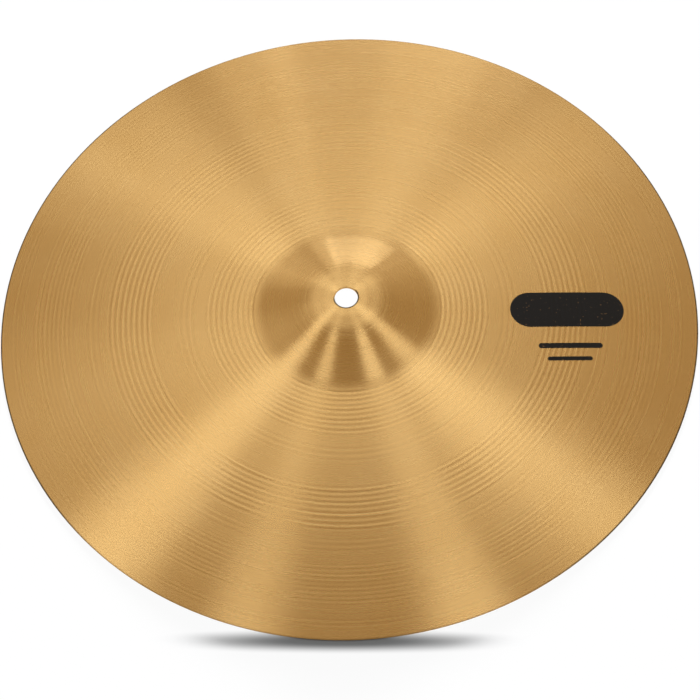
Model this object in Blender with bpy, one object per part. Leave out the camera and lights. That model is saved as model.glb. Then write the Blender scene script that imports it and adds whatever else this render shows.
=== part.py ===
# A 16 inch suspended cymbal, lying bell up on its rim.
#
# The real thing is one plate of cast bell bronze, hammered, pressed and turned
# on a lathe, with a single hole for the stand's rod. It is drawn here the way a
# maker's template draws it: a middle line from the hole to the rim, a thickness
# that falls from the bell to the rim, and one turn about the axis.
#
# The origin is the centre of the rim plane. +Z is the cymbal's own axis.

import math

import bmesh
import bpy

# Outline, in metres
RIM_DIAMETER = 0.4064       # over the rim, 16 inches
CYMBAL_HEIGHT = 0.0370      # from the rim plane to the flat land on the bell
BELL_HEIGHT = 0.0138        # from the foot of the bell to the same land
BELL_DIAMETER = 0.1020      # where the flank of the bell would cut the bow
SHOULDER_DIAMETER = 0.0440  # where the cap of the bell turns down into its flank
CAP_FALL = 0.0011           # how far the cap drops from the land to the shoulder
FLANK_HOLLOW = 0.0004       # how far the flank sinks in from a straight cone
LAND_DIAMETER = 0.0210      # flat ring round the hole, where the felts bear
HOLE_DIAMETER = 0.0134      # clears a stand's rod in its plastic sleeve

# Bends
SHOULDER_RADIUS = 0.034
FOOT_RADIUS = 0.029

# Thickness of the plate
BELL_THICKNESS = 0.0014
BOW_THICKNESS = 0.0011      # at the foot of the bell
RIM_THICKNESS = 0.0008

# How finely the curves are divided
TURN_STEPS = 96
BOW_STEPS = 8
FLANK_STEPS = 2
BEND_STEPS = 4
RIM_STEPS = 6

# Lathed bell bronze, linear colour
BRONZE_COLOUR = (0.68, 0.42, 0.16, 1.0)
BRONZE_ROUGHNESS = 0.32

SHARP_ANGLE = math.radians(35)
SAME_POINT = 0.000001


def clear_scene():
    for old in list(bpy.data.objects):
        bpy.data.objects.remove(old, do_unlink=True)


def bronze():
    material = bpy.data.materials.new("lathed_bronze")
    material.use_nodes = True
    shader = material.node_tree.nodes["Principled BSDF"]
    shader.inputs["Base Color"].default_value = BRONZE_COLOUR
    shader.inputs["Metallic"].default_value = 1.0
    shader.inputs["Roughness"].default_value = BRONZE_ROUGHNESS
    material.diffuse_color = BRONZE_COLOUR
    return material


def hollow_arc(start, end, hollow, steps):
    """Points of a shallow arc after start, up to and with end, sunk in to its right."""
    chord_r = end[0] - start[0]
    chord_z = end[1] - start[1]
    chord = math.hypot(chord_r, chord_z)
    points = []
    for step in range(1, steps + 1):
        share = step / steps
        drop = 4 * hollow * share * (1 - share) / chord
        points.append((start[0] + chord_r * share + chord_z * drop,
                       start[1] + chord_z * share - chord_r * drop))
    return points


def bow_line(foot, rim, steps):
    """Points of the bow after foot, up to and with rim, on a sphere about the axis."""
    foot_r, foot_z = foot
    rim_r, rim_z = rim
    centre_z = (rim_r ** 2 + rim_z ** 2 - foot_r ** 2 - foot_z ** 2) / (2 * (rim_z - foot_z))
    sphere = math.hypot(foot_r, foot_z - centre_z)
    first = math.asin(foot_r / sphere)
    last = math.asin(rim_r / sphere)
    points = []
    for step in range(1, steps + 1):
        angle = first + (last - first) * step / steps
        points.append((sphere * math.sin(angle), centre_z + sphere * math.cos(angle)))
    return points


def bend(before, corner, after, radius, steps):
    """Points of a round bend that replaces a corner, kept within half of each neighbour."""
    in_length = math.dist(before, corner)
    out_length = math.dist(corner, after)
    in_way = ((corner[0] - before[0]) / in_length, (corner[1] - before[1]) / in_length)
    out_way = ((after[0] - corner[0]) / out_length, (after[1] - corner[1]) / out_length)
    turn = math.atan2(in_way[0] * out_way[1] - in_way[1] * out_way[0],
                      in_way[0] * out_way[0] + in_way[1] * out_way[1])
    half_tangent = math.tan(abs(turn) / 2)
    trim = min(radius * half_tangent, in_length / 2, out_length / 2)
    bend_radius = trim / half_tangent
    side = math.copysign(1, turn)
    start = (corner[0] - in_way[0] * trim, corner[1] - in_way[1] * trim)
    centre = (start[0] - in_way[1] * bend_radius * side, start[1] + in_way[0] * bend_radius * side)
    points = []
    for step in range(steps + 1):
        angle = turn * step / steps
        from_centre = (start[0] - centre[0], start[1] - centre[1])
        points.append((centre[0] + from_centre[0] * math.cos(angle) - from_centre[1] * math.sin(angle),
                       centre[1] + from_centre[0] * math.sin(angle) + from_centre[1] * math.cos(angle)))
    return points


def middle_line():
    """The line half way through the plate, from the hole to the rim, as (radius, height)."""
    land_z = CYMBAL_HEIGHT - BELL_THICKNESS / 2
    hole = (HOLE_DIAMETER / 2, land_z)
    land = (LAND_DIAMETER / 2, land_z)
    shoulder = (SHOULDER_DIAMETER / 2, land_z - CAP_FALL)
    foot = (BELL_DIAMETER / 2, CYMBAL_HEIGHT - BELL_HEIGHT - BOW_THICKNESS / 2)
    rim = (RIM_DIAMETER / 2 - RIM_THICKNESS / 2, RIM_THICKNESS / 2)
    flank = hollow_arc(shoulder, foot, FLANK_HOLLOW, FLANK_STEPS)
    bow = bow_line(foot, rim, BOW_STEPS)
    line = [hole, land]
    line += bend(land, shoulder, flank[0], SHOULDER_RADIUS, BEND_STEPS)
    line += flank[:-1]
    line += bend(flank[-2], foot, bow[0], FOOT_RADIUS, BEND_STEPS)
    line += bow
    return line


def thickness_at(radius):
    """Even over the bell's top, then thinner to its foot, then thinner still to the rim."""
    stations = [(SHOULDER_DIAMETER / 2, BELL_THICKNESS),
                (BELL_DIAMETER / 2, BOW_THICKNESS),
                (RIM_DIAMETER / 2, RIM_THICKNESS)]
    if radius <= stations[0][0]:
        return BELL_THICKNESS
    for (near_r, near_t), (far_r, far_t) in zip(stations, stations[1:]):
        if radius <= far_r:
            return near_t + (far_t - near_t) * (radius - near_r) / (far_r - near_r)
    return RIM_THICKNESS


def upward_normals(line):
    """The direction square to the line at each point, on its upper side."""
    normals = []
    for index in range(len(line)):
        before = line[max(index - 1, 0)]
        after = line[min(index + 1, len(line) - 1)]
        run = after[0] - before[0]
        rise = after[1] - before[1]
        length = math.hypot(run, rise)
        normals.append((-rise / length, run / length))
    # The land and the hole's edge stay level and square to the axis
    normals[0] = (0.0, 1.0)
    normals[1] = (0.0, 1.0)
    return normals


def rounded_rim(centre, top_normal):
    """A half round from the top skin to the underside, with its outermost and lowest points."""
    top_angle = math.atan2(top_normal[1], top_normal[0])
    even_angles = [math.pi * step / RIM_STEPS for step in range(RIM_STEPS, -RIM_STEPS, -1)]
    between = [angle for angle in even_angles if top_angle - math.pi < angle < top_angle]
    points = []
    for angle in [top_angle] + between + [top_angle - math.pi]:
        points.append((centre[0] + RIM_THICKNESS / 2 * math.cos(angle),
                       centre[1] + RIM_THICKNESS / 2 * math.sin(angle)))
    return points


def section():
    """The closed outline of the plate: over the top, round the rim and back underneath."""
    line = middle_line()
    normals = upward_normals(line)
    top = []
    underside = []
    for (radius, height), (out_r, out_z) in zip(line, normals):
        half = thickness_at(radius) / 2
        top.append((radius + out_r * half, height + out_z * half))
        underside.append((radius - out_r * half, height - out_z * half))
    return top[:-1] + rounded_rim(line[-1], normals[-1]) + underside[-2::-1]


def turned_plate(name, outline, material):
    """The outline turned once about the axis, as one closed solid."""
    mesh = bpy.data.meshes.new(name)
    solid = bmesh.new()
    corners = [solid.verts.new((radius, 0.0, height)) for radius, height in outline]
    edges = [solid.edges.new((corners[index - 1], corners[index])) for index in range(len(corners))]
    bmesh.ops.spin(solid, geom=corners + edges, cent=(0, 0, 0), axis=(0, 0, 1),
                   angle=math.tau, steps=TURN_STEPS, use_merge=True)
    bmesh.ops.remove_doubles(solid, verts=solid.verts, dist=SAME_POINT)
    bmesh.ops.recalc_face_normals(solid, faces=solid.faces)
    solid.to_mesh(mesh)
    solid.free()
    mesh.shade_smooth()
    mesh.set_sharp_from_angle(angle=SHARP_ANGLE)
    mesh.materials.append(material)
    plate = bpy.data.objects.new(name, mesh)
    bpy.context.scene.collection.objects.link(plate)
    return plate


def main():
    clear_scene()
    turned_plate("cymbal", section(), bronze())


main()
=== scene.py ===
# A suspended cymbal of turned bell bronze, lying bell up in a plain white studio
import math
import bpy
import numpy as np
from mathutils import Matrix


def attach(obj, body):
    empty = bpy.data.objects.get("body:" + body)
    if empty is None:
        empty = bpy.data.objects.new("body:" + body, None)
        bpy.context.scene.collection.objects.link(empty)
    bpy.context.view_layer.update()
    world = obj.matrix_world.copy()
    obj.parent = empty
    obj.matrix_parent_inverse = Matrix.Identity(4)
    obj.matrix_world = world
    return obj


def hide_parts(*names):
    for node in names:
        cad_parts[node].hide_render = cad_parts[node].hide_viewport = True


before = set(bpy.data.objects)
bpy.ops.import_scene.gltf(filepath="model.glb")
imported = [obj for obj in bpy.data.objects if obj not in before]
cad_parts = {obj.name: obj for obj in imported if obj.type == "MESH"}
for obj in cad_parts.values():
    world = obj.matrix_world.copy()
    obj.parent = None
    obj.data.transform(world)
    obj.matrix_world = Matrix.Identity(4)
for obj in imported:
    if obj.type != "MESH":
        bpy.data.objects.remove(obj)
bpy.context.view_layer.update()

millimetre = 0.001


# Colours are written as sRGB hex and turned to the linear values that shaders use
def hexToLinear(hexCode):
    channels = [int(hexCode[place:place + 2], 16) / 255 for place in (0, 2, 4)]
    linear = [c / 12.92 if c <= 0.04045 else ((c + 0.055) / 1.055) ** 2.4 for c in channels]
    return (*linear, 1.0)


# Adds one node: settings are its own properties, inputs are values or the sockets to link
def addNode(tree, kind, settings=None, inputs=None):
    node = tree.nodes.new(kind)
    for name, value in (settings or {}).items():
        setattr(node, name, value)
    for name, value in (inputs or {}).items():
        if isinstance(value, bpy.types.NodeSocket):
            tree.links.new(value, node.inputs[name])
        else:
            node.inputs[name].default_value = value
    return node


def newMaterial(name):
    material = bpy.data.materials.new(name)
    material.use_nodes = True
    material.node_tree.nodes.clear()
    return material, material.node_tree


def newObject(name, mesh):
    piece = bpy.data.objects.new(name, mesh)
    bpy.context.scene.collection.objects.link(piece)
    return piece


# The plate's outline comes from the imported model: its section at y = 0 is one closed loop,
# walked here from the top of the hole over the bell and bow, round the rim and back underneath
def sectionOf(node):
    neighbours = {}
    for edge in node.data.edges:
        ends = []
        for index in edge.vertices:
            place = node.data.vertices[index].co
            if abs(place.y) < 0.01 * millimetre and place.x > 0:
                ends.append((round(place.x / millimetre, 3), round(place.z / millimetre, 3)))
        if len(ends) == 2 and ends[0] != ends[1]:
            neighbours.setdefault(ends[0], set()).add(ends[1])
            neighbours.setdefault(ends[1], set()).add(ends[0])
    holeRadius = min(radius for radius, height in neighbours)
    start = max((point for point in neighbours if point[0] == holeRadius), key=lambda point: point[1])
    here = max(neighbours[start], key=lambda point: point[0])
    loop = [start, here]
    while here != start:
        here = next(point for point in neighbours[here] if point != loop[-2])
        loop.append(here)
    return np.array(loop[:-1])


# A smooth line through the loop's points, sampled closely. The direction at a point leans
# to the side where the line bends less, so a flat stretch stays flat right up to a bend.
def smoothLine(points, samples):
    steps = np.diff(points, axis=0)
    lengths = np.hypot(steps[:, 0], steps[:, 1])
    run = np.concatenate([[0], np.cumsum(lengths)])
    ways = steps / lengths[:, None]
    ways = np.vstack([ways[:1], ways[:1], ways, ways[-1:], ways[-1:]])
    bends = np.linalg.norm(np.diff(ways, axis=0), axis=1) + 1e-6
    before, after = bends[:-2, None], bends[2:, None]
    directions = (after * ways[1:-2] + before * ways[2:-1]) / (before + after)
    directions /= np.linalg.norm(directions, axis=1)[:, None]
    along = np.linspace(0, run[-1], samples)
    piece = np.clip(np.searchsorted(run, along, side="right") - 1, 0, len(lengths) - 1)
    length = lengths[piece][:, None]
    share = (along - run[piece])[:, None] / length
    return ((2 * share ** 3 - 3 * share ** 2 + 1) * points[piece]
            + (share ** 3 - 2 * share ** 2 + share) * length * directions[piece]
            + (3 * share ** 2 - 2 * share ** 3) * points[piece + 1]
            + (share ** 3 - share ** 2) * length * directions[piece + 1])


# What the lathe and the hammer leave. Sizes are millimetres. A band of grooves runs from its
# inner to its outer radius and fades in and out over its fade, and its depth is half of a
# groove's whole height. A line is a single furrow.
latheMarks = {
    "top": {
        "bands": [
            {"inner": 25.0, "outer": 34.5, "pitch": 2.9, "depth": 0.026, "fade": 2.0},
            {"inner": 52.5, "outer": 82.5, "pitch": 3.1, "depth": 0.060, "fade": 2.0},
            {"inner": 88.0, "outer": 99.5, "pitch": 3.5, "depth": 0.028, "fade": 2.0},
            {"inner": 112.0, "outer": 141.5, "pitch": 3.14, "depth": 0.062, "fade": 3.0},
            {"inner": 143.5, "outer": 153.5, "pitch": 3.2, "depth": 0.030, "fade": 2.0},
            {"inner": 158.5, "outer": 185.5, "pitch": 2.62, "depth": 0.034, "fade": 4.0},
            {"inner": 190.5, "outer": 198.5, "pitch": 2.6, "depth": 0.026, "fade": 1.5},
        ],
        "lines": [
            {"at": 23.4, "width": 0.7, "depth": 0.06},    # where the cap of the bell ends
            {"at": 55.3, "width": 0.7, "depth": 0.06},    # round the foot of the bell
        ],
    },
    "underside": {
        "bands": [
            {"inner": 56.0, "outer": 96.0, "pitch": 5.0, "depth": 0.050, "fade": 6.0},
            {"inner": 112.0, "outer": 186.0, "pitch": 5.0, "depth": 0.050, "fade": 10.0},
        ],
        "lines": [],
    },
    "wander": (0.5, 0.3),        # how far a groove strays, in radians of its own wave
    "uneven": (0.25, 0.2),       # how much its depth changes along the way, as a share
    "hammerDepth": 0.030,        # how deep the blows dent the bow
    "blowWidth": 9.0,            # radius of one dent
    "blowRings": (68, 88, 108, 128, 148, 168, 188),
    "blowSpacing": 31.0,
    "blowStray": 0.2,            # how far a blow lands off its place, as a share of the spacing
    "blowReach": 3.0,            # and off its ring
    "blowForce": (0.5, 1.1),     # the weakest and the strongest, as a share of hammerDepth
    "cleanHole": (12.0, 6.0),    # the marks start at this radius and are full this much further
    "cleanRim": (1.5, 4.0),      # and end this far from the rim, after fading over this much
    "seed": 7,
}

plateMesh = {
    "turns": 180,                # divisions once round
    "grooveSteps": 6,            # rings to each groove
    "smoothStep": 2.6,           # between rings where the plate is smooth
    "undersideStep": 3.4,
    "lineStep": 0.3,             # across a single line
    "lineReach": 2.5,            # widths of the line to either side that get this step
    "bends": ((0, 29), (45, 57)),    # radii of the bends at the bell's top and foot
    "bendStep": 0.9,             # between rings there
    "rimRound": 0.6,             # from the outermost point to where the rim's round begins
    "rimShrink": 0.6,            # near the rim each ring goes this share of the way left,
    "rimStep": 0.09,             # but at least this far
    "holeRound": 0.25,           # the deburred edge of the hole
    "lineSamples": 24000,
}


# Height of the turned grooves at each radius and angle
def groovesAt(radius, angle, bands):
    dice = np.random.default_rng(latheMarks["seed"])
    wide, narrow = latheMarks["wander"]
    slow, quick = latheMarks["uneven"]
    height = np.zeros(np.broadcast(radius, angle).shape)
    for band in bands:
        inside = np.minimum(radius - band["inner"], band["outer"] - radius)
        inside = np.clip(inside / band["fade"], 0, 1)
        fade = inside * inside * (3 - 2 * inside)
        shift, drift = dice.uniform(0, math.tau, 2)
        wander = wide * np.sin(angle + drift) + narrow * np.sin(angle * 3 + radius * 0.2 + shift)
        strength = (1 - slow + slow * np.sin(radius * 0.9 + shift) * np.cos(angle + drift)
                    + quick * np.sin(radius * 1.7 + drift))
        phase = math.tau * (radius - band["inner"]) / band["pitch"] + wander
        height += band["depth"] * fade * strength * np.sin(phase)
    return height


# Depth of the single furrows at each radius
def linesAt(radius, lines):
    height = np.zeros(np.shape(radius))
    for line in lines:
        height -= line["depth"] * np.exp(-((radius - line["at"]) / line["width"]) ** 2)
    return height


# Shallow dents of the hammer, in rings, with no two rings in step
def dentsAt(radius, angle):
    dice = np.random.default_rng(latheMarks["seed"])
    x, y = radius * np.cos(angle), radius * np.sin(angle)
    height = np.zeros(np.broadcast(radius, angle).shape)
    for ring in latheMarks["blowRings"]:
        blows = round(math.tau * ring / latheMarks["blowSpacing"])
        start = dice.uniform(0, math.tau)
        for blow in range(blows):
            stray = dice.uniform(-latheMarks["blowStray"], latheMarks["blowStray"])
            turn = start + math.tau * (blow + stray) / blows
            reach = ring + dice.uniform(-latheMarks["blowReach"], latheMarks["blowReach"])
            away = np.hypot(x - reach * math.cos(turn), y - reach * math.sin(turn))
            depth = latheMarks["hammerDepth"] * dice.uniform(*latheMarks["blowForce"])
            height -= depth * np.exp(-(away / latheMarks["blowWidth"]) ** 2)
    return height


# Chooses how far apart rings lie along the line, by what is cut there
def ringSpacing(radius, rimRadius, cuts, smoothStep):
    toRim = rimRadius - plateMesh["rimRound"] - radius
    if toRim < smoothStep:
        return max(plateMesh["rimStep"], plateMesh["rimShrink"] * toRim)
    for line in cuts["lines"]:
        if abs(radius - line["at"]) < plateMesh["lineReach"] * line["width"]:
            return plateMesh["lineStep"]
    for band in cuts["bands"]:
        if band["inner"] <= radius <= band["outer"]:
            return band["pitch"] / plateMesh["grooveSteps"]
    if any(inner < radius < outer for inner, outer in plateMesh["bends"]):
        return plateMesh["bendStep"]
    return smoothStep


# Points of the line where rings lie, from the hole to the rim
def ringsAlong(line, cuts, smoothStep, rimRadius):
    run = np.concatenate([[0], np.cumsum(np.hypot(*np.diff(line, axis=0).T))])
    places = [0.0]
    while places[-1] < run[-1]:
        radius = np.interp(places[-1], run, line[:, 0])
        places.append(places[-1] + ringSpacing(radius, rimRadius, cuts, smoothStep))
    places = np.array(places) * run[-1] / places[-1]
    return np.stack([np.interp(places, run, line[:, 0]), np.interp(places, run, line[:, 1])], 1)


# How far the marks push a skin out of its smooth shape; the hole and the rim stay clean
def marksAt(radius, angle, cuts, outward, rimRadius):
    holeEnd, holeFade = latheMarks["cleanHole"]
    rimEnd, rimFade = latheMarks["cleanRim"]
    keep = np.clip((rimRadius - rimEnd - radius) / rimFade, 0, 1)
    keep = keep * np.clip((radius - holeEnd) / holeFade, 0, 1)
    cut = groovesAt(radius, angle, cuts["bands"]) + linesAt(radius, cuts["lines"])
    return (outward * cut + dentsAt(radius, angle)) * keep


# One skin of the plate, as rings by angles, pushed out along its own direction by the marks
def markedSkin(rings, angles, cuts, outward, rimRadius):
    slopes = np.gradient(rings, axis=0)
    slopes /= np.hypot(slopes[:, 0], slopes[:, 1])[:, None]
    radius, angle = rings[:, 0][:, None], angles[None, :]
    push = marksAt(radius, angle, cuts, outward, rimRadius)
    outRadius = radius - slopes[:, 1][:, None] * push
    height = rings[:, 1][:, None] + slopes[:, 0][:, None] * push
    return np.stack([outRadius * np.cos(angle), outRadius * np.sin(angle), height], -1)


# The whole plate as one closed grid of rings: top skin, rim, underside and the hole's wall
def buildPlate(outline):
    rimIndex = int(np.argmax(outline[:, 0]))
    rimRadius = outline[rimIndex, 0]
    top = outline[:rimIndex + 1].copy()
    underside = outline[rimIndex:][::-1].copy()
    edge = plateMesh["holeRound"]
    holeRadius = outline[0, 0]
    top[0, 0] += edge
    underside[0, 0] += edge
    topRings = ringsAlong(smoothLine(top, plateMesh["lineSamples"]), latheMarks["top"],
                          plateMesh["smoothStep"], rimRadius)
    underRings = ringsAlong(smoothLine(underside, plateMesh["lineSamples"]), latheMarks["underside"],
                            plateMesh["undersideStep"], rimRadius)
    angles = np.linspace(0, math.tau, plateMesh["turns"], endpoint=False)
    topSkin = markedSkin(topRings, angles, latheMarks["top"], 1, rimRadius)
    underSkin = markedSkin(underRings, angles, latheMarks["underside"], -1, rimRadius)
    # The hole's wall, with a quarter round at its lower and at its upper edge
    wall = []
    for corner, sign, turns in ((underRings[0, 1] + edge, -1, (15, 45, 75)),
                                (topRings[0, 1] - edge, 1, (75, 45, 15))):
        for turn in np.radians(turns):
            wall.append((holeRadius + edge - edge * math.sin(turn),
                         corner + sign * edge * math.cos(turn)))
    wall = np.array([(r * np.cos(angles), r * np.sin(angles), z + 0 * angles) for r, z in wall])
    grid = np.concatenate([topSkin, underSkin[::-1][1:], wall.transpose(0, 2, 1)])
    grid[:, :, 2] = np.clip(grid[:, :, 2], outline[:, 1].min(), outline[:, 1].max())
    return grid * millimetre


# Makes the mesh, with U along the section and V once round, so that U crosses the grooves
def gridMesh(name, grid):
    ringCount, turns = grid.shape[:2]
    ring, turn = np.meshgrid(np.arange(ringCount), np.arange(turns), indexing="ij")
    nextRing, nextTurn = (ring + 1) % ringCount, (turn + 1) % turns
    corners = np.stack([ring * turns + turn, nextRing * turns + turn,
                        nextRing * turns + nextTurn, ring * turns + nextTurn], -1)
    mesh = bpy.data.meshes.new(name)
    mesh.from_pydata(grid.reshape(-1, 3).tolist(), [], corners.reshape(-1, 4).tolist())
    steps = np.linalg.norm(np.diff(np.concatenate([grid[:, 0], grid[:1, 0]]), axis=0), axis=1)
    along = np.concatenate([[0], np.cumsum(steps)]) / steps.sum()
    u = np.stack([along[ring], along[ring + 1], along[ring + 1], along[ring]], -1)
    v = np.stack([turn, turn, turn + 1, turn + 1], -1) / turns
    layer = mesh.uv_layers.new(name="OFBake")
    layer.data.foreach_set("uv", np.stack([u, v], -1).reshape(-1).astype(np.float32))
    mesh.shade_smooth()
    mesh.validate()
    return mesh


# Cast bell bronze, lathe turned and lacquered: a pale gold metal. The tool's fine rings
# scatter light across themselves and hardly along, so a lamp shows as a ray from the hole
# to the rim, and wider tool marks show as pairs of light and dark rings.
def latheTurnedBronze(outline):
    finish = {
        "pale": "d6aa68", "deep": "d0a15c", "worn": "daaf6f",
        "wear": 0.12,            # how far the ridges of the rings go towards the worn tint
        # Painted shade: the cut edges of the hole and the rim are darkened towards the edge tint as if
        # in shadow, this wide in mm.
        # The hole's edge is left pale on one side, and the rim's edge on two opposite sides.
        "edge": "33261a", "holeShadeBand": 1.0, "rimShadeBand": 1.0,
        "holeUnshadedSide": 110, "rimUnshadedSides": 80,    # degrees
        "roughness": (0.26, 0.28),
        "anisotropy": 1.0,
        "finePitch": 1.3,        # mm; the real tool leaves 0.3 mm, too fine to show in the picture
        "fineDepth": 0.0005,     # mm
        "fineBump": 0.2,
        "fineChange": 1.6,       # how much the rings change once round
        "mottleSize": 34.0,      # mm across the cloudy patches of tint
    }
    material, tree = newMaterial("latheTurnedBronze")
    place = addNode(tree, "ShaderNodeTexCoord").outputs["Object"]
    inMillimetres = addNode(tree, "ShaderNodeVectorMath", {"operation": "SCALE"},
                            {0: place, "Scale": 1 / millimetre}).outputs[0]
    flat = addNode(tree, "ShaderNodeVectorMath", {"operation": "MULTIPLY"},
                   {0: inMillimetres, 1: (1, 1, 0)}).outputs[0]
    radius = addNode(tree, "ShaderNodeVectorMath", {"operation": "LENGTH"}, {0: flat}).outputs["Value"]
    outwards = addNode(tree, "ShaderNodeVectorMath", {"operation": "NORMALIZE"}, {0: flat}).outputs[0]
    # Rings: noise that changes fast with radius and slowly once round
    ringPlace = addNode(tree, "ShaderNodeVectorMath", {"operation": "SCALE"},
                        {0: outwards, "Scale": finish["fineChange"]}).outputs[0]
    ringCount = addNode(tree, "ShaderNodeMath", {"operation": "DIVIDE"},
                        {0: radius, 1: finish["finePitch"]}).outputs[0]
    ringHeight = addNode(tree, "ShaderNodeCombineXYZ", None, {"Z": ringCount}).outputs[0]
    ringVector = addNode(tree, "ShaderNodeVectorMath", {"operation": "ADD"},
                         {0: ringPlace, 1: ringHeight}).outputs[0]
    rings = addNode(tree, "ShaderNodeTexNoise", {"noise_dimensions": "3D"},
                    {"Vector": ringVector, "Scale": 1.0,
                     "Detail": 3.0, "Roughness": 0.65}).outputs["Fac"]
    clouds = addNode(tree, "ShaderNodeTexNoise", {"noise_dimensions": "3D"},
                     {"Vector": inMillimetres, "Scale": 1 / finish["mottleSize"],
                      "Detail": 3.0, "Roughness": 0.5}).outputs["Fac"]
    tint = addNode(tree, "ShaderNodeMix", {"data_type": "RGBA"},
                   {"Factor": clouds, "A": hexToLinear(finish["deep"]),
                    "B": hexToLinear(finish["pale"])})
    ringShare = addNode(tree, "ShaderNodeMapRange", None,
                        {"Value": rings, "From Min": 0.35, "From Max": 0.75,
                         "To Min": 0.0, "To Max": finish["wear"]})
    colour = addNode(tree, "ShaderNodeMix", {"data_type": "RGBA"},
                     {"Factor": ringShare.outputs[0], "A": tint.outputs["Result"],
                      "B": hexToLinear(finish["worn"])})
    # Painted shade at the hole's edge, on the top skin, all but the side where it is left pale
    height = addNode(tree, "ShaderNodeSeparateXYZ", None, {0: inMillimetres}).outputs["Z"]
    onTop = addNode(tree, "ShaderNodeMath", {"operation": "GREATER_THAN"},
                    {0: height, 1: outline[:, 1].max() - 0.3}).outputs[0]
    holeRadius, rimRadius = outline[:, 0].min(), outline[:, 0].max()
    holeShadeBand = addNode(tree, "ShaderNodeMapRange", None,
                       {"Value": radius, "From Min": holeRadius + finish["holeShadeBand"],
                        "From Max": holeRadius + finish["holeShadeBand"] * 0.6, "To Max": 0.9}).outputs[0]
    towards = {}
    for side in ("holeUnshadedSide", "rimUnshadedSides"):
        way = math.radians(finish[side])
        towards[side] = addNode(tree, "ShaderNodeVectorMath", {"operation": "DOT_PRODUCT"},
                                {0: outwards, 1: (math.cos(way), math.sin(way), 0)}).outputs["Value"]
    holeShadeBySide = addNode(tree, "ShaderNodeMapRange", {"interpolation_type": "SMOOTHSTEP"},
                       {"Value": towards["holeUnshadedSide"], "From Min": 0.1, "From Max": 0.6,
                        "To Min": 1.0, "To Max": 0.0}).outputs[0]
    holeShadeShare = holeShadeBand
    for share in (onTop, holeShadeBySide):
        holeShadeShare = addNode(tree, "ShaderNodeMath", {"operation": "MULTIPLY"},
                            {0: holeShadeShare, 1: share}).outputs[0]
    # Painted shade at the rim's edge, paler on two opposite sides
    eitherWay = addNode(tree, "ShaderNodeMath", {"operation": "ABSOLUTE"},
                        {0: towards["rimUnshadedSides"]}).outputs[0]
    rimShadeBySide = addNode(tree, "ShaderNodeMapRange", {"interpolation_type": "SMOOTHSTEP"},
                      {"Value": eitherWay, "From Min": 0.6, "From Max": 0.85,
                       "To Min": 1.0, "To Max": 0.3}).outputs[0]
    rimShadeBand = addNode(tree, "ShaderNodeMapRange", None,
                      {"Value": radius, "From Min": rimRadius - finish["rimShadeBand"],
                       "From Max": rimRadius - finish["rimShadeBand"] / 2, "To Max": 0.85}).outputs[0]
    rimShadeShare = addNode(tree, "ShaderNodeMath", {"operation": "MULTIPLY"},
                       {0: rimShadeBand, 1: rimShadeBySide}).outputs[0]
    paintedShadeShare = addNode(tree, "ShaderNodeMath", {"operation": "MAXIMUM"}, {0: holeShadeShare, 1: rimShadeShare})
    # Both painted shades darken the colour towards the edge tint
    colour = addNode(tree, "ShaderNodeMix", {"data_type": "RGBA"},
                     {"Factor": paintedShadeShare.outputs[0], "A": colour.outputs["Result"],
                      "B": hexToLinear(finish["edge"])})
    low, high = finish["roughness"]
    roughness = addNode(tree, "ShaderNodeMapRange", None,
                        {"Value": rings, "From Min": 0.3, "From Max": 0.7,
                         "To Min": low, "To Max": high})
    bump = addNode(tree, "ShaderNodeBump", None,
                   {"Height": rings, "Strength": finish["fineBump"],
                    "Distance": finish["fineDepth"] * millimetre})
    tangent = addNode(tree, "ShaderNodeTangent", {"direction_type": "UV_MAP", "uv_map": "OFBake"})
    shader = addNode(tree, "ShaderNodeBsdfPrincipled", None,
                     {"Base Color": colour.outputs["Result"], "Metallic": 1.0,
                      "Roughness": roughness.outputs[0], "Anisotropic": finish["anisotropy"],
                      "Normal": bump.outputs[0], "Tangent": tangent.outputs[0]})
    addNode(tree, "ShaderNodeOutputMaterial", None, {"Surface": shader.outputs[0]})
    return material


outline = sectionOf(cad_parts["cymbal"])
plate = newObject("turned_plate", gridMesh("turned_plate", buildPlate(outline)))
plate.data.materials.append(latheTurnedBronze(outline))
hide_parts("cymbal")
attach(plate, "root")
print("plate", len(plate.data.polygons), "faces")


# A generic mark without lettering: one plain bar with rounded ends and two thin lines,
# printed on the bow towards +X. Each shape is (middle x, middle y, length, width) in mm.
inkMark = {
    "shapes": [(127.0, -7.0, 66.0, 23.0), (127.0, -31.0, 37.0, 3.4), (126.0, -39.5, 26.0, 2.6)],
    "step": 1.4,                 # between the mesh's points
    "tipPoints": 9,              # along a quarter turn of a rounded end
    "tipGap": 0.3,               # the straight part's points keep this far from the ends
    "tipWidth": 0.02,            # half of the film's width at the very tip
    "above": 0.045,              # the film's face over the metal
    "below": 0.030,              # and its foot inside it
}


# Height of the plate's marked top skin at points of the plane
def topHeightAt(x, y, line, rimRadius):
    radius, angle = np.hypot(x, y), np.arctan2(y, x)
    return (np.interp(radius, line[:, 0], line[:, 1])
            + marksAt(radius, angle, latheMarks["top"], 1, rimRadius))


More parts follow.
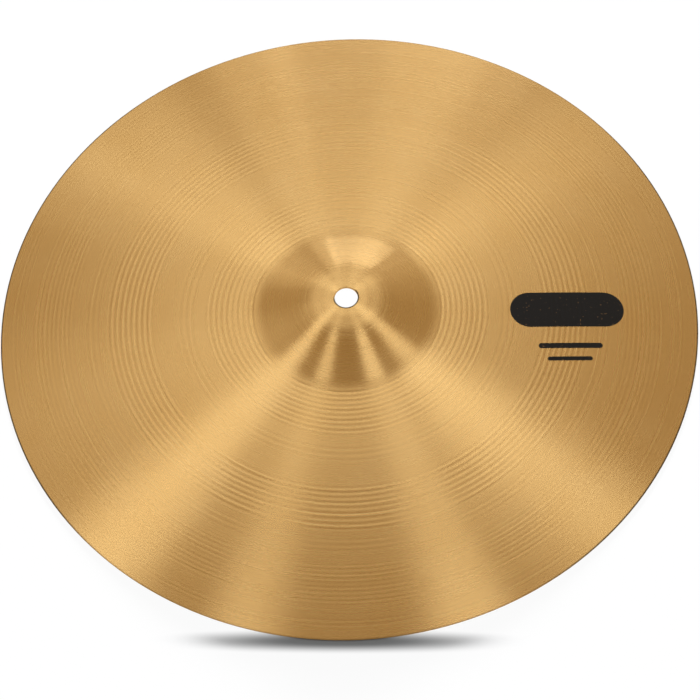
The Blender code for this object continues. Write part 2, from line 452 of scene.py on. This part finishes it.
# One printed shape as a closed film: a face over the metal, a foot in it and a wall between
def filmOf(shape, line, rimRadius):
    middleX, middleY, length, width = shape
    tipRadius = width / 2
    along = np.linspace(-length / 2, length / 2, round(length / inkMark["step"]) + 1)
    tips = tipRadius * (1 - np.cos(np.linspace(0, math.pi / 2, inkMark["tipPoints"])))
    straight = along[np.abs(along) < length / 2 - tipRadius - inkMark["tipGap"]]
    along = np.concatenate([tips - length / 2, straight, length / 2 - tips[::-1]])
    past = np.clip(np.abs(along) - (length / 2 - tipRadius), 0, tipRadius)
    half = np.maximum(np.sqrt(tipRadius ** 2 - past ** 2), inkMark["tipWidth"])
    across = np.linspace(-1, 1, max(3, round(width / inkMark["step"]) + 1))
    x = middleX + along[:, None] + 0 * across[None, :]
    y = middleY + half[:, None] * across[None, :]
    z = topHeightAt(x, y, line, rimRadius)
    rows, columns = x.shape
    face = np.stack([x, y, z + inkMark["above"]], -1).reshape(-1, 3)
    foot = np.stack([x, y, z - inkMark["below"]], -1).reshape(-1, 3)
    index = np.arange(rows * columns).reshape(rows, columns)
    quads = np.stack([index[:-1, :-1], index[1:, :-1], index[1:, 1:], index[:-1, 1:]], -1)
    quads = quads.reshape(-1, 4)
    edge = np.concatenate([index[:-1, 0], index[-1, :-1], index[:0:-1, -1], index[0, :0:-1]])
    following = np.roll(edge, -1)
    under = rows * columns
    walls = np.stack([edge + under, following + under, following, edge], -1)
    return np.concatenate([face, foot]), np.concatenate([quads, quads[:, ::-1] + under, walls])


# All printed shapes in one mesh, on the smooth line over the top skin
def buildInk(outline):
    rimIndex = int(np.argmax(outline[:, 0]))
    line = smoothLine(outline[:rimIndex - 2], plateMesh["lineSamples"])
    points, faces, count = [], [], 0
    for shape in inkMark["shapes"]:
        shapePoints, shapeFaces = filmOf(shape, line, outline[rimIndex, 0])
        points.append(shapePoints)
        faces.append(shapeFaces + count)
        count += len(shapePoints)
    mesh = bpy.data.meshes.new("ink_mark")
    mesh.from_pydata((np.concatenate(points) * millimetre).tolist(), [],
                     np.concatenate(faces).tolist())
    mesh.validate()
    return mesh


# Screen printed ink, cured black: even and half matt, rubbed through in a few flecks
def screenPrintedInk():
    finish = {"ink": "15110c", "worn": "6e5330", "roughness": 0.6, "fleckSize": 1.6}
    material, tree = newMaterial("screenPrintedInk")
    place = addNode(tree, "ShaderNodeTexCoord").outputs["Object"]
    flecks = addNode(tree, "ShaderNodeTexNoise", {"noise_dimensions": "3D"},
                     {"Vector": place, "Scale": 1 / (finish["fleckSize"] * millimetre),
                      "Detail": 2.0}).outputs["Fac"]
    share = addNode(tree, "ShaderNodeMapRange", None,
                    {"Value": flecks, "From Min": 0.68, "From Max": 0.74})
    colour = addNode(tree, "ShaderNodeMix", {"data_type": "RGBA"},
                     {"Factor": share.outputs[0], "A": hexToLinear(finish["ink"]),
                      "B": hexToLinear(finish["worn"])})
    shader = addNode(tree, "ShaderNodeBsdfPrincipled", None,
                     {"Base Color": colour.outputs["Result"], "Roughness": finish["roughness"],
                      "Specular IOR Level": 0.25})
    addNode(tree, "ShaderNodeOutputMaterial", None, {"Surface": shader.outputs[0]})
    return material


ink = newObject("ink_mark", buildInk(outline))
ink.data.materials.append(screenPrintedInk())
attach(ink, "root")
print("ink", len(ink.data.polygons), "faces")


# The camera looks down at 59.5 degrees from 3 m, turned a little about its own axis
camera = {
    "distance": 3.0,
    "elevation": 59.5,
    "roll": -4.56,
    "aim": (-0.0002, -0.0136, 0.0),
    "lens": 265.4,               # mm
    "frameWidth": 36.0,          # mm
    "farthest": 100.0,           # how far it sees, past the floor's far edge
}


def buildCamera():
    data = bpy.data.cameras.new("camera")
    data.sensor_width = camera["frameWidth"]
    data.lens = camera["lens"]
    data.clip_end = camera["farthest"]
    holder = newObject("camera", data)
    tilt = math.radians(camera["elevation"])
    roll = math.radians(camera["roll"])
    back = np.array([0, -math.cos(tilt), math.sin(tilt)])
    right = np.array([1.0, 0, 0])
    up = np.cross(back, right)
    turnedRight = math.cos(roll) * right + math.sin(roll) * up
    turnedUp = -math.sin(roll) * right + math.cos(roll) * up
    place = np.array(camera["aim"]) + camera["distance"] * back
    turned = Matrix(np.stack([turnedRight, turnedUp, back], 1))
    holder.matrix_world = Matrix.LocRotScale(place, turned, None)
    bpy.context.scene.camera = holder


buildCamera()


# The studio: a white floor, a white horizon, warm walls and small soft lamps. Turned
# metal shows each lamp as a ray from the hole to the rim, so a lamp is placed by its ray's
# angle round the plate and by the slope of metal at which that ray is brightest. Angles are
# in degrees and sizes in metres; a brightness of 1 is as white as paper.
studio = {
    "floorRadius": 30.0,
    "floorSides": 64,
    "floorDrop": 0.0001,         # just below the rim, so that the two don't share a plane
    "floorColour": "8a99b5",     # cool, to show white in the warm light of walls and lamps
    # The floor glows white like a light table, save in a flat oval at the front of the rim,
    # where it is matt and keeps the whole shadow. Elsewhere it keeps this share of the shadow,
    # which fades out between these two distances, so that the far floor meets a white horizon.
    "oval": {"angle": 264.7, "distance": 0.2035, "depth": 0.0085, "width": 0.125},
    "ovalCore": 0.2,             # the oval is wholly matt to this share of its reach
    "shadowElsewhere": 0.05,
    "shadowFades": (0.4, 1.0),
    "underRadius": 0.15,         # within it the floor shows only through the hole, and glows
    "walls": [(0.0, "ffffff"), (0.1, "f8f8f8"), (0.3, "d0bc9a"), (0.5, "ac9b80"),
              (0.8, "b4a286"), (1.0, "a08f76")],   # by the sine of the height
    "lampDistance": 2.4,
    "lampColour": "d3e4ff",
    "lamps": [                   # ray, slope, width, height, brightness
        (0, 0, 0.6, 0.6, 0.8),       # a little light on the cap of the bell
        (20, 12, 0.5, 0.5, 0.5),     # the dim stretch beyond the printed mark
        (35, 12, 0.35, 0.35, 1.5),   # the ray to the upper right
        (52, 26, 0.7, 0.5, 0.6),     # a faint one beside it
        (68, 18, 0.35, 0.35, 1.5),   # the ray to the top, right of the middle
        (75, 26, 1.1, 0.5, 4.2),     # the bright far flank of the bell
        (90, 6, 0.5, 0.5, 0.8),      # the stretch between the two rays to the top
        (105, 20, 0.3, 0.3, 2.8),    # the ray to the top, left of the middle
        (135, 14, 0.4, 0.4, 1.8),    # the ray to the upper left
        (148, 20, 0.4, 0.4, 1.0),    # a faint one beside it
        (197, 20, 1.0, 0.6, 0.6),    # the dim left side
        (222, 2, 0.8, 0.8, 1.8),     # the broad ray to the lower left, from the bell
        (221, 15, 0.4, 0.4, 2.7),    # to the rim,
        (223, 26, 0.5, 0.5, 3.2),    # and over the near flank of the bell
        (249, 24, 0.4, 0.4, 4.8),    # the two narrow rays either side of the front
        (286, 24, 0.45, 0.45, 5.2),
        (313, 9, 0.35, 0.35, 3.3),   # the ray to the lower right, over the bow
        (314, 27, 0.6, 0.6, 3.0),    # and over the flank of the bell
    ],
    # Two lamps behind the cymbal light the floor alone. The low one throws the shadow below
    # the front rim, and the high one lightens that shadow a little away from the rim.
    "floorLampDistance": 12.0,
    "floorLampColour": "ffe7c5",
    "floorLamps": {
        "low": {"angle": 84.7, "height": 8.5, "size": (3.4, 0.5), "share": 0.95},
        "high": {"angle": 84.7, "height": 50.0, "size": (5.1, 3.4), "share": 0.03},
    },
}


# A floor that glows for the camera and in reflections, matt where it keeps the shadow
def buildFloor():
    material, tree = newMaterial("paleStudioFloor")
    place = addNode(tree, "ShaderNodeTexCoord").outputs["Object"]
    away = addNode(tree, "ShaderNodeVectorMath", {"operation": "LENGTH"}, {0: place}).outputs["Value"]
    outside = addNode(tree, "ShaderNodeMath", {"operation": "GREATER_THAN"},
                      {0: away, 1: studio["underRadius"]}).outputs[0]
    oval = studio["oval"]
    turn = math.radians(oval["angle"])
    middle = (oval["distance"] * math.cos(turn), oval["distance"] * math.sin(turn), 0)
    inOval = addNode(tree, "ShaderNodeMapping", {"vector_type": "TEXTURE"},
                     {"Vector": place, "Location": middle, "Rotation": (0, 0, turn),
                      "Scale": (oval["depth"], oval["width"], 1)}).outputs[0]
    reach = addNode(tree, "ShaderNodeVectorMath", {"operation": "LENGTH"}, {0: inOval}).outputs["Value"]
    matted = addNode(tree, "ShaderNodeMapRange", {"interpolation_type": "SMOOTHSTEP"},
                     {"Value": reach, "From Min": studio["ovalCore"], "From Max": 1.0,
                      "To Min": 1.0, "To Max": studio["shadowElsewhere"]}).outputs[0]
    fadeStart, fadeEnd = studio["shadowFades"]
    near = addNode(tree, "ShaderNodeMapRange", {"interpolation_type": "SMOOTHSTEP"},
                   {"Value": away, "From Min": fadeStart, "From Max": fadeEnd,
                    "To Min": 1.0, "To Max": 0.0}).outputs[0]
    for share in (outside, near):
        matted = addNode(tree, "ShaderNodeMath", {"operation": "MULTIPLY"},
                         {0: matted, 1: share}).outputs[0]
    glowing = addNode(tree, "ShaderNodeMath", {"operation": "SUBTRACT"}, {0: 1.0, 1: matted}).outputs[0]
    rays = addNode(tree, "ShaderNodeLightPath")
    either = rays.outputs["Is Camera Ray"]
    for kind in ("Is Glossy Ray", "Is Transmission Ray"):
        either = addNode(tree, "ShaderNodeMath", {"operation": "MAXIMUM"},
                         {0: either, 1: rays.outputs[kind]}).outputs[0]
    seen = addNode(tree, "ShaderNodeMath", {"operation": "MULTIPLY"}, {0: glowing, 1: either}).outputs[0]
    matt = addNode(tree, "ShaderNodeBsdfDiffuse", None,
                   {"Color": hexToLinear(studio["floorColour"])})
    light = addNode(tree, "ShaderNodeEmission", None, {"Color": (1, 1, 1, 1), "Strength": 1.0})
    both = addNode(tree, "ShaderNodeMixShader", None,
                   {0: seen, 1: matt.outputs[0], 2: light.outputs[0]})
    addNode(tree, "ShaderNodeOutputMaterial", None, {"Surface": both.outputs[0]})
    sides = studio["floorSides"]
    rim = [(studio["floorRadius"] * math.cos(math.tau * side / sides),
            studio["floorRadius"] * math.sin(math.tau * side / sides), 0) for side in range(sides)]
    mesh = bpy.data.meshes.new("floor")
    mesh.from_pydata(rim, [], [list(range(sides))])
    mesh.materials.append(material)
    floor = newObject("floor", mesh)
    floor.location.z = -studio["floorDrop"]
    return floor


# Walls that pale towards the floor, for the metal to reflect. Where the floor ends the camera
# sees them white, as the floor is.
def buildSurround():
    world = bpy.data.worlds.new("studioSurround")
    world.use_nodes = True
    tree = world.node_tree
    tree.nodes.clear()
    way = addNode(tree, "ShaderNodeTexCoord").outputs["Generated"]
    rise = addNode(tree, "ShaderNodeSeparateXYZ", None, {0: way}).outputs["Z"]
    walls = addNode(tree, "ShaderNodeValToRGB", None, {"Fac": rise})
    stops = walls.color_ramp.elements
    for place, colour in studio["walls"]:
        stop = stops[0] if place == 0 else stops[-1] if place == 1 else stops.new(place)
        stop.color = hexToLinear(colour)
    light = addNode(tree, "ShaderNodeBackground", None,
                    {"Color": walls.outputs["Color"], "Strength": 1.0})
    addNode(tree, "ShaderNodeOutputWorld", None, {"Surface": light.outputs[0]})
    bpy.context.scene.world = world


# Places a lamp this far away in one direction and turns it to face the cymbal
def aimAtOrigin(holder, towards, distance):
    holder.location = np.array(towards) / np.linalg.norm(towards) * distance
    holder.rotation_euler = holder.location.to_track_quat("Z", "Y").to_euler()


# The way to a lamp that the camera sees mirrored in metal of this slope at this angle
def wayByRay(ray, slope):
    turn, lean, tilt = math.radians(ray), math.radians(slope), math.radians(camera["elevation"])
    upright = np.array([math.sin(lean) * math.cos(turn), math.sin(lean) * math.sin(turn),
                        math.cos(lean)])
    toCamera = np.array([0, -math.cos(tilt), math.sin(tilt)])
    return 2 * (upright @ toCamera) * upright - toCamera


# A soft box that lights the given pieces only
def buildLamp(name, towards, distance, size, colour, brightness, lit):
    lamp = bpy.data.lights.new(name, "AREA")
    lamp.shape = "RECTANGLE"
    lamp.size, lamp.size_y = size
    lamp.energy = math.pi * lamp.size * lamp.size_y * brightness
    lamp.color = hexToLinear(colour)[:3]
    holder = newObject(name, lamp)
    aimAtOrigin(holder, towards, distance)
    holder.light_linking.receiver_collection = lit


# A lamp that by itself makes the floor this share of white, set as if seen from the cymbal
def buildFloorLamp(name, settings, lit):
    turn, rise = math.radians(settings["angle"]), math.radians(settings["height"])
    towards = (math.cos(turn) * math.cos(rise), math.sin(turn) * math.cos(rise), math.sin(rise))
    width, height = settings["size"]
    spread = width * height / studio["floorLampDistance"] ** 2
    reflected = sum(a * b for a, b in zip(hexToLinear(studio["floorColour"])[:3],
                                          hexToLinear(studio["floorLampColour"])[:3])) / 3
    brightness = settings["share"] * math.pi / (reflected * spread * math.sin(rise))
    buildLamp(name, towards, studio["floorLampDistance"], settings["size"],
              studio["floorLampColour"], brightness, lit)


def collectionOf(name, pieces):
    collection = bpy.data.collections.new(name)
    for piece in pieces:
        collection.objects.link(piece)
    return collection


buildSurround()
litFloor = collectionOf("litFloor", [buildFloor()])
litCymbal = collectionOf("litCymbal", [plate, ink])
for lampName, lampSettings in studio["floorLamps"].items():
    buildFloorLamp(lampName, lampSettings, litFloor)
for ray, slope, width, height, brightness in studio["lamps"]:
    buildLamp(f"ray{ray}slope{slope}", wayByRay(ray, slope), studio["lampDistance"],
              (width, height), studio["lampColour"], brightness, litCymbal)
print("studio", len(studio["lamps"]), "lamps")

bpy.context.scene.view_settings.view_transform = "Standard"
